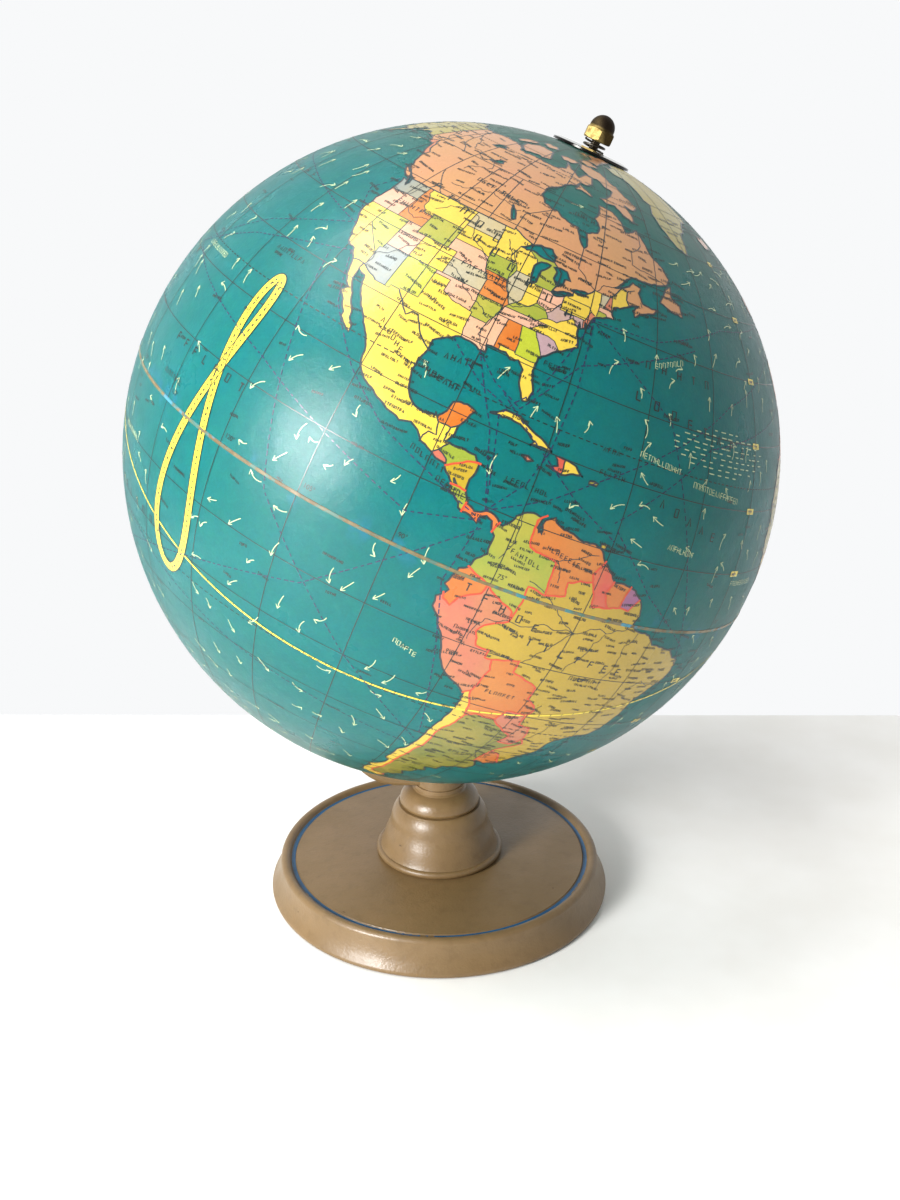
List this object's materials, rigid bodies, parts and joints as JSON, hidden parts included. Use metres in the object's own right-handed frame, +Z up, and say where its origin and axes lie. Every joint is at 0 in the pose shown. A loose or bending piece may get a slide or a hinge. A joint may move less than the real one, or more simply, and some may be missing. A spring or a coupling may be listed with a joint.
{
  "type": "desktop globe",
  "caption": "Desktop terrestrial globe: a printed ball that spins on a tilted rod, held by a curved arm on a bell post and a round weighted base.",
  "frame": {"origin": "on the stand's centre line, on the underside of the felt, where the base meets the table", "axes": "+Z up; the polar axis leans 23.5 degrees from +Z towards +X; longitude 82.5 west faces -Y at rest"},
  "size_m": [0.3048, 0.3052, 0.3854],
  "materials": {
    "base_paint": "satin tan enamel, worn in places",
    "cast_weight": "as cast",
    "hardboard": "smooth pressed hardboard",
    "felt": "pressed felt",
    "plain_steel": "plain zinc-grey hardware",
    "rod_steel": "darkened steel",
    "plated_dial": "bright plating, dark edge",
    "aged_brass": "tarnished dome, rubbed flats",
    "fibre": "red vulcanised fibre",
    "pole_wood": "turned, unfinished",
    "pulpboard": "moulded grey pulpboard",
    "seam_tape": "varnished paper tape",
    "printed_paper": "glossy varnished print"
  },
  "bodies": {
    "stand": {"base_pan": "base_paint", "base_weight": "cast_weight", "bottom_cover": "hardboard", "felt_pad": "felt", "bell_foot_ring": "base_paint", "bell_post": "base_paint", "neck_collar": "base_paint", "spacer_tube": "plain_steel", "arm": "base_paint", "tie_bolt": "plain_steel", "tie_bolt_washer": "plain_steel", "axis_rod": "rod_steel", "rod_jam_nut": "plain_steel", "thrust_washer": "fibre", "dial_spring": "rod_steel", "acorn_nut": "aged_brass"},
    "globe": {"north_shell": "pulpboard", "south_shell": "pulpboard", "equator_hoop": "pulpboard", "north_pole_block": "pole_wood", "south_pole_block": "pole_wood", "north_bush": "rod_steel", "south_bush": "rod_steel", "equator_tape": "seam_tape", "gore_north_01": "printed_paper", "gore_north_02": "printed_paper", "gore_north_03": "printed_paper", "gore_north_04": "printed_paper", "gore_north_05": "printed_paper", "gore_north_06": "printed_paper", "gore_north_07": "printed_paper", "gore_north_08": "printed_paper", "gore_north_09": "printed_paper", "gore_north_10": "printed_paper", "gore_north_11": "printed_paper", "gore_north_12": "printed_paper", "gore_south_01": "printed_paper", "gore_south_02": "printed_paper", "gore_south_03": "printed_paper", "gore_south_04": "printed_paper", "gore_south_05": "printed_paper", "gore_south_06": "printed_paper", "gore_south_07": "printed_paper", "gore_south_08": "printed_paper", "gore_south_09": "printed_paper", "gore_south_10": "printed_paper", "gore_south_11": "printed_paper", "gore_south_12": "printed_paper"},
    "dial": {"hour_dial": "plated_dial"}
  },
  "joints": [
    {"name": "globe_spin", "type": "hinge", "parent": "stand", "child": "globe", "pos_m": [0.0055, 0, 0.2303], "axis": [0.3987, 0, 0.9171], "continuous": true},
    {"name": "dial_spin", "type": "hinge", "parent": "stand", "child": "dial", "pos_m": [0.0055, 0, 0.2303], "axis": [0.3987, 0, 0.9171], "continuous": true}
  ]
}
